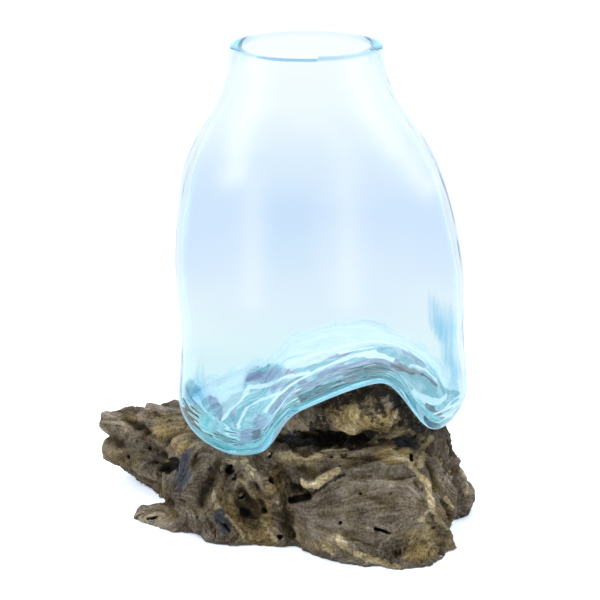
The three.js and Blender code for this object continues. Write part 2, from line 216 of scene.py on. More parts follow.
def vase_surface(rows, angles):
    """Points (rows, angles, 3) of the vase's outer surface."""
    z, half = vase_row(rows)
    z, half = z[:, None], half[:, None]
    up = ease(z, hip_height, rim_height)
    lean = up**1.25
    deep = half * mix(body_depth_ratio, 1.0, up * up)
    x = mix(body_centre[0], rim_centre[0], lean) + half * np.cos(angles)
    y = mix(body_centre[1], rim_centre[1], lean) + deep * np.sin(angles)
    pulled = 1 - ease(z, lobe_floor, lobe_floor + lift_reach)
    return np.stack([x, y, z + saddle(x, y) * pulled], axis=2)


def wall_at(rows):
    z, _ = vase_row(rows)
    low = 1 - ease(z, lobe_floor, waist_height)
    high = ease(z, shoulder_height, rim_height)
    return body_wall + (floor_wall - body_wall) * low + (rim_wall - body_wall) * high


def normals_of(grid):
    """Outward normals of a grid of points that is closed round its second axis."""
    along = np.gradient(grid, axis=0)
    round_ = np.roll(grid, -1, axis=1) - np.roll(grid, 1, axis=1)
    n = np.cross(round_, along)
    return n / np.maximum(np.linalg.norm(n, axis=2), 1e-9)[:, :, None]


def skin(rings):
    """Vertices and faces of a closed surface from rings of points. The first and last are single points."""
    faces = []
    start = 0
    for lower, upper in zip(rings[:-1], rings[1:]):
        above = start + len(lower)
        j = np.arange(max(len(lower), len(upper)))
        k = np.roll(j, -1)
        if len(lower) == 1:
            corners = [start + 0 * j, above + k, above + j]
        elif len(upper) == 1:
            corners = [start + j, start + k, above + 0 * j]
        else:
            corners = [start + j, start + k, above + k, above + j]
        faces += np.stack(corners, 1).tolist()
        start = above
    return np.concatenate(rings), faces


def added(name, data):
    """A new object in the scene, made of this data."""
    made = bpy.data.objects.new(name, data)
    bpy.context.scene.collection.objects.link(made)
    return made


def inside_box(points, low, high):
    """Points held inside the box that their CAD piece takes up."""
    return np.clip(points, np.array(low) / MM - to_row, np.array(high) / MM - to_row)


def mesh_object(name, points, faces, smooth=True):
    """A mesh from points in millimetres in the maker's frame."""
    mesh = bpy.data.meshes.new(name)
    mesh.from_pydata(((points + to_row) * MM).tolist(), [], faces)
    mesh.update()
    mesh.polygons.foreach_set("use_smooth", [smooth] * len(mesh.polygons))
    return added(name, mesh)


# The glass

vase_around = 288
rows = np.concatenate([np.linspace(0, 16, 150), np.linspace(16, last_row, 64)[1:]])
vase_steps = len(rows)
angles = np.arange(vase_around) * 2 * math.pi / vase_around
outer = vase_surface(rows, angles)
outward = normals_of(outer)
outward[-1, :, 2] = 0
outward[-1] /= np.linalg.norm(outward[-1], axis=1)[:, None]
row_grid = np.repeat(rows[:, None], vase_around, axis=1)
row_of = row_grid.ravel()
flat = outer.reshape(-1, 3)
facing = outward.reshape(-1, 3)

# Hand-blown glass is never quite even: the outside is dimpled a little, and the inside waves more.
dimple_depth = 0.16
wave_height = 0.34
ripple_height = 0.12
dimples = dimple_depth * (1 + rough(flat, 34, 2)).clip(0, 2)
waves = wave_height * rough(flat + 90, 42, 2)
waves += ripple_height * rough(flat * np.array([1, 1, 0.35]) + 30, 9, 2)

# Drawn folds near the floor, running along the bottom edge
low_share = within(row_of, 5, 9, 15.5, 18.5)
along_edge = row_of * 2.1
turning = np.tile(angles, vase_steps)


def edge_noise(along, around, shift=0):
    """Noise over the vase: a number of bumps along its rows and round it."""
    spots = [along_edge * along, around * np.cos(turning), around * np.sin(turning)]
    return noise(np.stack(spots, axis=1) + shift)


folds = low_share * (0.8 * edge_noise(0.42, 2.5) + 0.3 * edge_noise(1.1, 5.5, 9))
thinnest_wall = 2.6
inner_depth = wall_at(row_of) + (waves + folds) * ease(row_of, 0.3, 2)
inner_depth = np.maximum(inner_depth, thinnest_wall)
outside = flat - facing * dimples[:, None] * ease(row_of, 0, 1)[:, None]
inside = flat - facing * inner_depth[:, None]
outside = outside.reshape(vase_steps, vase_around, 3)
inside = inside.reshape(vase_steps, vase_around, 3)

# The lip's section: how far in from the outer edge, how far below the top, glow and strength of the line
# along its front
lip_section = [
    (0.0, 1.4, 0.5, 0.0),
    (0.15, 0.75, 0.8, 0.0),
    (0.6, 0.3, 1.0, 0.0),
    (1.5, 0.05, 1.0, 0.0),
    (3.2, 0.0, 1.0, 0.0),
    (5.0, 0.05, 1.0, 0.1),
    (5.9, 0.3, 1.0, 0.8),
    (6.35, 0.75, 0.8, 1.0),
    (6.5, 1.4, 0.5, 1.0),
]
# The lip overlaps itself at one spot near the front, where its inner edge steps down.
lip_seam = math.radians(-80)
past_seam = np.mod(lip_seam - angles, 2 * math.pi)
seam_step = within(past_seam, 0.0, 0.035, 0.6, 2.6)
seam_drop = 1.5
lip_wave = 0.15
lip = []
for inset, drop, _, _ in lip_section:
    ring = outer[-1] - outward[-1] * inset
    share = inset / rim_wall
    uneven = seam_drop * seam_step + lip_wave * (1 + np.sin(5 * angles))
    ring[:, 2] = rim_height - drop - uneven * share
    lip.append(ring)
rings = [outside[0][:1]]
rings += [outside[i] for i in range(1, vase_steps - 2)]
rings += lip
rings += [inside[i] for i in range(vase_steps - 3, 0, -1)]
rings += [inside[0][:1]]
points, faces = skin(rings)
vase = mesh_object("vase_glass", inside_box(points, glass_low, glass_high), faces)


def vertex_values(thing, name, values):
    attribute = thing.data.attributes.new(name, "FLOAT", "POINT")
    attribute.data.foreach_set("value", np.asarray(values, np.float32))


def along_skin(values):
    """A value for each vertex of the glass from one for each place of the outer surface."""
    values = values.reshape(vase_steps, vase_around)
    parts = [values[0][:1], values[1 : vase_steps - 2].ravel(), np.tile(values[-1], len(lip))]
    parts += [values[vase_steps - 3 : 0 : -1].ravel(), values[0][:1]]
    return np.concatenate(parts)


def on_lip(across_it, round_it):
    """A value for each vertex of the glass that is 0 but on the lip: a value across it times one round it."""
    values = np.zeros(len(points))
    start = 1 + (vase_steps - 3) * vase_around
    values[start : start + len(lip) * vase_around] = np.outer(across_it, round_it).ravel()
    return values


# The thick edge that the floor turns up in carries light along inside the glass, so it glows aqua.
turned = (row_grid - floor_rows) / corner_rows * 90
edge_top = 46 - 16 * within(outer[:, :, 0], -25, 5, 58, 76)
edge_band = within(turned, 4, 14, edge_top - 10, edge_top) * (1 - ease(outward[:, :, 1], -0.05, 0.25))
vertex_values(vase, "edge_band", along_skin(edge_band))

# The draped floor is streaked with aqua, with painted refraction of the wood seen through it in lavender grey
# and smoke, and with painted highlights in milk white. Its far edge is torn, as the photo shows.
jagged = noise(np.stack([7 * np.cos(turning), 7 * np.sin(turning), along_edge * 0.3], axis=1) + 11)
across, down = spot_on_view(inside.reshape(-1, 3))
far_line = [(176, 372), (186, 380), (193, 376), (203, 396), (212, 398), (224, 415), (240, 399)]
far_line += [(248, 378), (252, 370), (275, 365), (292, 372), (318, 363), (345, 350)]
far_line += [(365, 346), (382, 344), (410, 353), (437, 371), (449, 388), (470, 395)]
far_line = np.array(far_line)
torn = 2.4 * view_noise(across, down, 4, 9, 21) + 1.2 * view_noise(across, down, 1.8, 5, 51)
behind = np.interp(across, far_line[:, 0], far_line[:, 1]) - down + torn
at_back = ease(facing[:, 1], -0.3, 0.1)
floor_share = 1 - ease(turned.ravel() + 10 * jagged, 20 + 45 * at_back, 30 + 50 * at_back)
far_side = ease(facing[:, 1], -0.15, 0.1) * (1 - ease(row_of, 18, 20))
fade = 1 - 0.65 * ease(row_of, 14.2, 16.8)
floor_share = np.maximum(floor_share, far_side * fade * (1 - ease(behind, -2.5, 0.5)))
floor_share *= 1 - 0.4 * ease(behind, 0, 2)
vertex_values(vase, "floor_glass", along_skin(floor_share))
vertex_values(vase, "pale_glass", along_skin(floor_share * ease(behind, 0, 1.5)))

# Streaks in the floor: lines of places in the picture, half width there and strength
floor_marks = {
    "lavender_refraction": [
        ([(209, 392), (214, 402), (222, 414)], 4.0, 0.9),
        ([(250, 376), (262, 378), (276, 372), (292, 376)], 6.0, 1.0),
        ([(270, 388), (280, 384), (300, 380)], 3.0, 0.7),
        ([(243, 440), (254, 432), (262, 420)], 9.0, 1.0),
        ([(272, 410), (282, 398), (300, 388), (330, 374), (360, 363), (385, 360), (404, 368)], 4.5, 1.0),
        ([(330, 356), (344, 352), (352, 352)], 4.0, 0.8),
        ([(402, 351), (414, 358), (426, 364)], 2.6, 0.7),
        ([(432, 372), (444, 384), (446, 392)], 2.4, 0.6),
        ([(236, 404), (232, 416), (238, 428)], 2.4, 0.6),
    ],
    "smoke_refraction": [
        (
            [(256, 436), (270, 424), (284, 410), (300, 400), (330, 387), (360, 374), (390, 367), (412, 370)],
            3.8,
            1.0,
        ),
        ([(412, 370), (426, 378), (436, 386)], 1.6, 0.8),
        ([(424, 404), (432, 410), (442, 416)], 2.4, 0.8),
        ([(186, 384), (192, 396), (204, 412)], 1.2, 0.6),
        ([(212, 430), (228, 440), (246, 446)], 1.2, 0.6),
    ],
    "milk_highlight": [
        ([(224, 416), (238, 402), (250, 386), (268, 384), (284, 378), (310, 374)], 1.4, 0.9),
        ([(238, 426), (246, 408), (262, 398), (280, 392)], 1.4, 0.8),
        ([(266, 412), (278, 396), (300, 382), (330, 366), (350, 358), (375, 354), (392, 360)], 1.6, 1.0),
        ([(262, 432), (280, 410), (298, 400)], 1.2, 0.8),
        ([(196, 396), (210, 412), (226, 428), (240, 442)], 1.0, 0.7),
        ([(340, 352), (356, 350), (372, 348)], 1.6, 0.9),
        ([(413, 392), (424, 400), (438, 403), (449, 398)], 3.4, 1.0),
        ([(411, 398), (420, 410), (432, 420)], 1.4, 0.8),
        ([(410, 366), (424, 370), (436, 380)], 1.2, 0.8),
    ],
}
wander = 2.2 * view_noise(across, down, 14, 8, 71)
frayed = 0.6 + 0.55 * edge_noise(1.3, 6, 91)
in_view = np.stack([across, down], axis=1)
for name, lines in floor_marks.items():
    mask = np.zeros(len(flat))
    for line, half, strength in lines:
        away = line_distance(in_view, line) + wander * min(half / 3, 1)
        mask = np.maximum(mask, strength * (1 - ease(away, half * frayed, half * frayed + 1.6)))
    vertex_values(vase, name, along_skin(mask))
streak = edge_noise(0.8, 2.5, 40) + 0.7 * edge_noise(2.2, 5, 60)
vertex_values(vase, "streak", along_skin(streak))

# Marks in the outer skin, on the side that faces the camera. First a bluer drawn fold low in the right wall
across, down = spot_on_view(flat)
in_view = np.stack([across, down], axis=1)
facing_camera = ease(-(facing @ view_forward), 0.0, 0.15)
feather = 10 * view_noise(across, down, 5, 40, 80)
fold_left = 432 + 13 * ease(down, 322, 350) + 7 * ease(down, 358, 376)
fold_right = 456 + 5 * ease(down, 350, 376)
fold = ease(across - fold_left, -1, 3) * (1 - ease(across - fold_right, 0, 3))
fold = fold * ease(down + 2.8 * feather, 298, 312) * (1 - ease(down, 376, 404))
fold *= 0.5 + 0.5 * np.clip(view_noise(across, down, 4, 40, 33) * 2.4 + 0.5, 0, 1)

# Feathered spikes low in the left wall, and a faint bluish patch in the middle
spikes = within(across, 180, 184, 198, 206) * ease(down + 2 * feather, 372, 384)
spikes = spikes * (1 - ease(down, 398, 408))
patch = oval(across, down, (290, 232), (26, 52), 4)

# Just under the lip the thick wall shows as a bluish band at each side: line of places and half width
neck_bands = np.zeros(len(flat))
for line, half in (([(237, 42), (235, 52), (231, 66)], 5.0), ([(377, 42), (380, 52), (386, 68)], 6.0)):
    neck_bands = np.maximum(neck_bands, 1 - ease(line_distance(in_view, line), half * 0.5, half * 1.3))
neck_bands *= (1 - ease(down, 56, 72)) * (0.6 + 0.5 * view_noise(across, down, 3, 5, 3))
stain = np.clip(fold + 0.7 * spikes + 0.13 * patch + 0.5 * neck_bands, 0, 1) * facing_camera
vertex_values(vase, "stain", along_skin(stain))

# Painted highlights: long pale streaks where the lights reflect in the wall, as untinted colour and a faint
# glow: line of places in the picture, half width there, strength
highlight_places = [
    ([(254, 60), (250, 96), (238, 128), (232, 174)], 15, 0.85),
    ([(356, 60), (370, 106), (392, 138), (430, 184)], 14, 0.85),
    ([(250, 180), (250, 300)], 14, 0.3),
    ([(344, 150), (350, 220), (348, 300)], 16, 0.35),
    ([(300, 122), (330, 126), (350, 150)], 9, 0.2),
]
highlight_streaks = np.zeros(len(flat))
for line, half, strength in highlight_places:
    away = line_distance(in_view, line) + 2.5 * view_noise(across, down, 16, 30, 5)
    highlight_streaks = np.maximum(highlight_streaks, strength * np.exp(-((away / half) ** 2)))
vertex_values(vase, "highlight_streaks", along_skin(highlight_streaks * facing_camera))
_, _, lip_glow, lip_dark = np.array(lip_section).T
vertex_values(vase, "rim_band", on_lip(lip_glow, 1 - 0.6 * ease(np.sin(angles), 0.3, 0.8)))
vertex_values(vase, "lip_line", on_lip(lip_dark, ease(-np.sin(angles), 0.15, 0.5)))

# The same outer form, grown by a little over the seat's clearance and closed over the mouth, keeps the wood
# clear of the glass.
seat_gap = 0.45
keep_out_rings = [flat[:1] + np.array([0, 0, -seat_gap])]
keep_out_rings += [outer[i] + outward[i] * seat_gap for i in range(1, vase_steps, 2)]
keep_out_rings += [np.array([[rim_centre[0], rim_centre[1], rim_height]])]
keep_out_points, keep_out_faces = skin(keep_out_rings)

# The root: the CAD solid as a distance field, carved where the photo shows holes, grooves and lips

root_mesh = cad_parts["root_base"].data
root_points = np.zeros(len(root_mesh.vertices) * 3)
root_mesh.vertices.foreach_get("co", root_points)
root_points = root_points.reshape(-1, 3) / MM - to_row
root_mesh.calc_loop_triangles()
root_triangles = np.zeros(len(root_mesh.loop_triangles) * 3, np.int32)
root_mesh.loop_triangles.foreach_get("vertices", root_triangles)
root_triangles = root_triangles.reshape(-1, 3)

voxel = 1.0
reach = 8
cap_drop = 12.0
field_low = np.floor(root_points.min(0)).astype(int) - reach
field_high = np.ceil(root_points.max(0)).astype(int) + reach
shape = tuple(((field_high - field_low) / voxel).astype(int) + 1)
field_corner = tuple(int(i) for i in np.round(field_low / voxel))
voxel_grid = vdb.createLinearTransform(voxelSize=voxel)


def distances(points, triangles):
    """Signed distances in millimetres to a closed surface, on the field's grid, cut off at reach."""
    grid = vdb.FloatGrid.createLevelSetFromPolygons(
        points.astype(np.float32), triangles=triangles, transform=voxel_grid, halfWidth=reach / voxel
    )
    field = np.zeros(shape, np.float32)
    grid.copyToArray(field, ijk=field_corner)
    return field


def welded(points, triangles):
    """Triangles over vertices that share one place, so that the surface is closed."""
    _, first, back = np.unique(np.round(points, 4), axis=0, return_index=True, return_inverse=True)
    triangles = back.reshape(-1)[triangles]
    whole = (triangles != np.roll(triangles, 1, axis=1)).all(axis=1)
    return points[first], triangles[whole].astype(np.int32)


def carried_down(points, triangles):
    """The closed surface with its flat underside moved down, so that carving leaves a crisp lower edge."""
    low = points[:, 2] < 0.001
    in_cap = low[triangles].all(axis=1)
    cap = triangles[in_cap]
    copy_of = np.full(len(points), -1)
    copy_of[low] = len(points) + np.arange(low.sum())
    edges = np.concatenate([cap[:, [0, 1]], cap[:, [1, 2]], cap[:, [2, 0]]])
    known = set(map(tuple, edges.tolist()))
    walls = []
    for a, b in known:
        if (b, a) not in known:
            walls += [(a, b, copy_of[b]), (a, copy_of[b], copy_of[a])]
    points = np.concatenate([points, points[low] - np.array([0, 0, cap_drop])])
    triangles = np.concatenate([triangles[~in_cap], copy_of[cap], np.array(walls)])
    return points, triangles.astype(np.int32)


root_points, root_triangles = welded(root_points, root_triangles)
solid = distances(*carried_down(root_points, root_triangles))
glass_triangles = []
for face in keep_out_faces:
    glass_triangles.append(face[:3])
    if len(face) == 4:
        glass_triangles.append([face[0], face[2], face[3]])
glass_away = distances(keep_out_points, np.array(glass_triangles, np.int32))


def blurred(field, steps):
    """A field averaged with its neighbours, steps times."""
    for _ in range(steps):
        for axis in range(3):
            wide = np.pad(field, [(1, 1) if a == axis else (0, 0) for a in range(3)], mode="edge")
            first = np.take(wide, range(field.shape[axis]), axis=axis)
            last = np.take(wide, range(2, field.shape[axis] + 2), axis=axis)
            field = field * 0.5 + (first + last) * 0.25
    return field


solid = blurred(solid, 2)
surface_tree = BVHTree.FromPolygons(root_points.tolist(), root_triangles.tolist())


def on_root(across, down):
    """The spot of the root's surface that shows at a place in the picture, and its outward normal."""
    ray = view_forward * camera_focal
    ray = ray + np.array([1.0, 0, 0]) * (across - picture_centre) + view_up * (picture_centre - down)
    ray = ray / np.linalg.norm(ray)
    hit, normal, _, _ = surface_tree.ray_cast(Vector(camera_place), Vector(ray))
    if hit is not None:
        return np.array(hit), np.array(normal)
    away = root_points - camera_place
    off = away - np.outer(away @ ray, ray)
    near = np.argmin(np.linalg.norm(off, axis=1))
    spot, normal, _, _ = surface_tree.find_nearest(Vector(root_points[near]))
    return np.array(spot), np.array(normal)


# What the photo shows on the root. Places are in the picture, widths and depths in millimetres.
# Holes: line of places, half width, depth
holes = [
    ([(163, 468), (168, 467), (174, 463)], 3.3, 10),
    ([(228.6, 471)], 2.6, 9),
    ([(234, 480)], 1.3, 5),
    ([(243, 511), (248, 512.5)], 1.9, 6),
    ([(263.5, 511)], 1.7, 6),
    ([(241, 499), (247, 497)], 1.0, 4),
    ([(271.5, 480)], 1.9, 5),
    ([(290, 502), (300, 500), (310, 497)], 1.7, 7),
    ([(331, 457)], 1.0, 4),
    ([(343, 456), (346, 455)], 0.9, 4),
    ([(339.5, 466)], 0.9, 4),
    ([(270, 457)], 1.1, 4),
    ([(360.4, 493.4)], 1.1, 5),
    ([(391, 493.8)], 0.95, 5),
    ([(340, 523)], 1.2, 5),
    ([(375, 529), (382, 531), (390, 533)], 1.25, 7),
    ([(411.6, 454), (411.6, 460)], 1.0, 4),
    ([(451.8, 472)], 1.1, 5),
    ([(461, 477)], 0.8, 3),
    ([(434, 528)], 0.8, 3),
    ([(280, 538)], 1.6, 5),
    ([(146, 519), (157, 517)], 1.1, 6),
    ([(128, 457)], 1.3, 4),
    ([(150, 449)], 1.0, 3),
    ([(224, 525), (229, 531)], 1.0, 3),
]
# Grooves: line of places, half width, depth
grooves = [
    ([(361, 494), (385, 504), (404, 514)], 0.7, 1.4),
    ([(316, 525), (332, 533)], 0.7, 1.3),
    ([(318, 505), (350, 500), (378, 497)], 0.9, 0.7),
    ([(320, 515), (360, 515), (400, 524)], 0.8, 0.6),
    ([(350, 480), (380, 474), (408, 482)], 0.8, 0.6),
    ([(138, 478), (160, 490)], 0.9, 1.8),
    ([(168, 431.5), (186, 431.5)], 1.2, 2.2),
    ([(144, 426), (152, 436), (165, 441)], 1.2, 1.6),
    ([(104, 424), (112, 440), (118, 446)], 2.2, 3.2),
    ([(124, 412), (130, 420), (140, 428)], 2.6, 3.0),
    ([(216, 468), (208, 478), (203, 488), (199, 500)], 3.4, 4.2),
    ([(196, 470), (192, 486), (184, 498)], 1.6, 1.4),
    ([(281, 470), (284, 484), (287, 498)], 5.5, 3.8),
    ([(236, 508), (252, 516), (266, 512)], 8.0, 3.6),
    ([(250, 528), (262, 536)], 5.0, 2.2),
    ([(285, 515), (290, 535)], 3.0, 2.4),
    ([(352, 459), (376, 456), (398, 452)], 3.6, 2.0),
    ([(300, 468), (314, 472)], 3.2, 2.2),
    ([(428, 460), (432, 474), (436, 496), (441, 516)], 2.6, 3.0),
    ([(437, 458), (452, 470), (463, 488)], 0.8, 0.8),
    ([(434, 470), (446, 484), (456, 502)], 0.8, 0.8),
    ([(398, 440), (412, 443)], 2.6, 1.3),
    ([(160, 505), (180, 505), (196, 512)], 1.4, 1.6),
    ([(150, 523), (176, 529), (196, 533)], 1.3, 1.5),
    ([(356, 400), (362, 414), (360, 424)], 1.6, 1.8),
    ([(376, 398), (384, 412), (380, 424)], 1.8, 2.0),
]
# Lips, ridges and flakes that stand proud: line of places, half width, height
lips = [
    ([(316, 493), (330, 482), (348, 473), (370, 464), (402, 469), (416, 478)], 2.2, 1.3),
    ([(430, 438), (422, 454), (419, 465)], 1.3, 1.3),
    ([(386, 430), (398, 409)], 1.8, 1.6),
    ([(248, 471), (261, 478), (272, 488), (283, 505)], 3.0, 2.0),
    ([(223, 467), (226, 478), (234, 476), (233, 465), (226, 463)], 1.1, 1.1),
    ([(112, 418), (124, 432), (140, 444)], 3.0, 1.4),
    ([(150, 404), (162, 410), (178, 416)], 3.2, 2.0),
    ([(105, 448), (118, 462), (136, 476)], 2.4, 1.2),
    ([(186, 492), (200, 478), (212, 462)], 1.2, 0.9),
    ([(289, 421), (294, 424)], 2.2, 1.6),
    ([(342, 428), (356, 432)], 3.4, 1.8),
    ([(429, 516), (414, 532), (409, 550), (402, 560)], 1.3, 0.9),
    ([(436, 446), (450, 458), (464, 476), (468, 500)], 3.2, 1.2),
    ([(446, 500), (452, 508)], 1.2, 1.1),
]
# Split edges: line of places, half width, height, and how wide and strong the cream colour is there
split_edges = [
    ([(300, 480), (306, 487), (314, 486), (324, 477), (337, 470)], 2.3, 2.0, 3.0, 0.85),
    ([(411, 466), (420, 476), (428, 484), (429, 496), (434, 513), (444, 527)], 1.2, 1.5, 2.1, 0.9),
    ([(323, 449), (336, 451), (354, 446), (373, 441), (379, 434)], 1.0, 1.2, 2.0, 1.0),
    ([(375, 440), (398, 434)], 1.4, 1.2, 3.0, 0.9),
    ([(213, 491), (217, 507), (232, 522), (245, 539)], 1.2, 1.3, 1.7, 0.9),
    ([(236, 499), (244, 494), (250, 499)], 1.0, 1.3, 1.6, 0.95),
    ([(259, 516), (266, 528), (277, 542)], 1.1, 1.3, 1.7, 0.9),
    ([(278, 503), (288, 510)], 1.1, 1.3, 1.8, 0.85),
    ([(271, 452), (300, 457), (321, 455)], 1.6, 0.9, 3.0, 0.7),
]
lips += [(line, half, height) for line, half, height, _, _ in split_edges]


def spots(line):
    return [on_root(u, v)[0] for u, v in line]


hole_places = []
for line, half, depth in holes:
    entries = [on_root(u, v) for u, v in line]
    inward = view_forward * 0.75 - entries[0][1] * 0.45
    inward /= np.linalg.norm(inward)
    hole_places.append(([spot for spot, _ in entries], inward, half, depth))
groove_places = [(spots(line), half, depth) for line, half, depth in grooves]
lip_places = [(spots(line), half, height) for line, half, height in lips]

band = np.abs(solid) < reach - 1.5
at = np.argwhere(band)
band_points = at * voxel + field_low
height = np.zeros(len(at))

# Which places the photo shows: how deep the nearest surface is, over cells of two pixels
map_cell = 2
map_size = 300


def map_cells(points):
    across, down = [np.clip(place / map_cell, 0, map_size - 1).astype(int) for place in spot_on_view(points)]
    return down, across


shell = band_points[np.abs(solid[band]) < 0.9]
depth_map = np.full((map_size, map_size), far_away)
np.minimum.at(depth_map, map_cells(shell), (shell - camera_place) @ view_forward)
wide = np.pad(depth_map, 1, constant_values=far_away)
depth_map = np.min([wide[i : i + map_size, j : j + map_size] for i in range(3) for j in range(3)], axis=0)


def shown(points):
    """1 for places that the photo shows, falling to 0 for those behind others."""
    depth = (points - camera_place) @ view_forward
    return 1 - ease(depth - depth_map[map_cells(points)], 9, 20)


# Grain: a value that changes across the fibres, so that its level lines run along them. It is given for
# regions of the picture: middle, half sizes and how the fibres run there.
pixel = 0.52  # about one pixel of the picture in millimetres, where the root stands


def straight(angle):
    """Fibres that run at this angle in the picture, in degrees below the horizontal."""
    a = math.radians(angle)
    return lambda across, down: (down * math.cos(a) - across * math.sin(a)) * pixel


def fan(u, v, size):
    """Fibres that spread from a place in the picture."""
    return lambda across, down: np.arctan2(down - v, across - u) * size


def round_about(u, v, flatten):
    """Fibres that run round a place in the picture."""
    return lambda across, down: np.hypot(across - u, (down - v) * flatten) * pixel


grain_regions = [
    ((365, 505), (75, 38), fan(235, 520, 75)),
    ((350, 455), (60, 12), straight(-8)),
    ((452, 480), (24, 34), straight(58)),
    ((130, 430), (50, 30), straight(26)),
    ((140, 465), (40, 18), straight(38)),
    ((200, 478), (20, 28), straight(-58)),
    ((165, 515), (46, 18), straight(-6)),
    ((244, 506), (28, 30), round_about(238, 505, 1.2)),
    ((268, 482), (16, 22), straight(44)),
    ((370, 410), (46, 28), straight(-52)),
    ((205, 530), (50, 12), straight(14)),
    ((435, 545), (22, 18), straight(-35)),
    ((180, 440), (30, 20), straight(18)),
]
block_face = ((358, 506), (62, 34), 4)


def grain_of(points):
    across, down = spot_on_view(points)
    front = shown(points)
    total = 0.03 + 0.6 * (1 - front)
    grain = (0.6 * points[:, 2] + 0.8 * points[:, 1]) * total
    for middle, size, value in grain_regions:
        weight = oval(across, down, middle, size) * front
        grain += weight * value(across, down)
        total += weight
    wavy = 0.9 * rough(points, 20, 2) + 12.0 * (1 - front) * noise(points / 50 + 15)
    return grain / total + wavy


# Slow swellings, ridges that run with the grain, and weathering furrows. The big block's face is smoother.
across, down = spot_on_view(band_points)
block_smoothness = 0.72
swell_height = 0.8
knurl_height = 0.6
furrow_depth = 1.7
crease_depth = 0.5
rugged = 1 - block_smoothness * oval(across, down, *block_face) * shown(band_points)
grain = grain_of(band_points)
ribbed = [grain / 5.0, band_points[:, 0] / 34, (band_points[:, 1] + band_points[:, 2]) / 34]
ribbed = np.stack(ribbed, axis=1)
height += swell_height * rugged * rough(band_points, 17, 2)
height += knurl_height * rugged * rough(band_points + 50, 6.5, 2)
height += rugged * (1.0 * noise(ribbed) + 0.6 * noise(ribbed * 2.1 + 7))
furrow = 1 - ease(np.abs(noise(ribbed * 0.6 + 31)), 0.0, 0.16)
height -= furrow_depth * rugged * furrow * ease(rough(band_points + 400, 25, 1), -0.35, 0.2)
crease = 1 - ease(np.abs(rough(band_points * np.array([0.5, 0.8, 1.0]) + 120, 5, 2)), 0.0, 0.3)
height -= crease_depth * rugged * crease
# The CAD solid has part of each groove and lip already.
still_missing = 0.6
for line, half, depth in groove_places:
    height -= still_missing * depth * np.exp(-((line_distance(band_points, line) / half) ** 2))
for line, half, tall in lip_places:
    away = line_distance(band_points, line) + 0.35 * half * noise(band_points / 3 + 40)
    broken = 0.75 + 0.7 * noise(band_points / 5 + 3)
    height += still_missing * tall * broken * np.exp(-((away / half) ** 4))
carved = solid.copy()
carved[band] -= height
for line, inward, half, depth in hole_places:
    for share in np.linspace(0, 1, 4):
        middle = [spot + inward * depth * share for spot in line]
        near = line_distance(band_points, middle) < half * 2
        if near.any():
            bore = line_distance(band_points[near], middle) - half * (1 - 0.35 * share)
            bore += 0.25 * rough(band_points[near], 3, 1)
            k = tuple(at[near].T)
            carved[k] = np.maximum(carved[k], -bore)

# The sawn underside, the seat and the CAD's own reach stay as they are.
z_of = (np.arange(shape[2]) * voxel + field_low[2])[None, None, :]
carved = np.maximum(carved, (0.0 - z_of).astype(np.float32))
carved = np.maximum(carved, -glass_away)
near_steps = 12
wide_steps = 7
coarse = 3
hollow = blurred(carved, near_steps)
broad_hollow = blurred(carved[::coarse, ::coarse, ::coarse], wide_steps)

grid = vdb.FloatGrid(float(reach))
grid.copyFromArray(carved.astype(np.float32), ijk=field_corner)
grid.transform = voxel_grid
grid.gridClass = vdb.GridClass.LEVEL_SET
points, quads = grid.convertToQuads(0.0)
points = np.array(points, float)
quads = np.array(quads)[:, ::-1]


def largest_piece(points, quads):
    """Loose crumbs that the carving freed are dropped."""
    parent = np.arange(len(points))
    while True:
        low = parent[quads].min(axis=1)
        before = parent.copy()
        for k in range(4):
            np.minimum.at(parent, quads[:, k], low)
        parent = parent[parent]
        if (parent == before).all():
            break
    labels, counts = np.unique(parent, return_counts=True)
    keep = parent == labels[np.argmax(counts)]
    number = np.cumsum(keep) - 1
    return points[keep], number[quads[keep[quads[:, 0]]]]


points, quads = largest_piece(points, quads)


def field_at(field, points, step=voxel):
    """The field's value at points, between its voxels."""
    p = (points - field_low) / step
    cell = np.clip(np.floor(p).astype(int), 0, np.array(field.shape) - 2)
    part = p - cell
    total = np.zeros(len(points))
    for corner in np.ndindex(2, 2, 2):
        c = cell + corner
        weight = np.prod(np.where(corner, part, 1 - part), axis=1)
        total += weight * field[c[:, 0], c[:, 1], c[:, 2]]
    return total


across, down = spot_on_view(points)
visible = shown(points)
unseen = 1 - visible
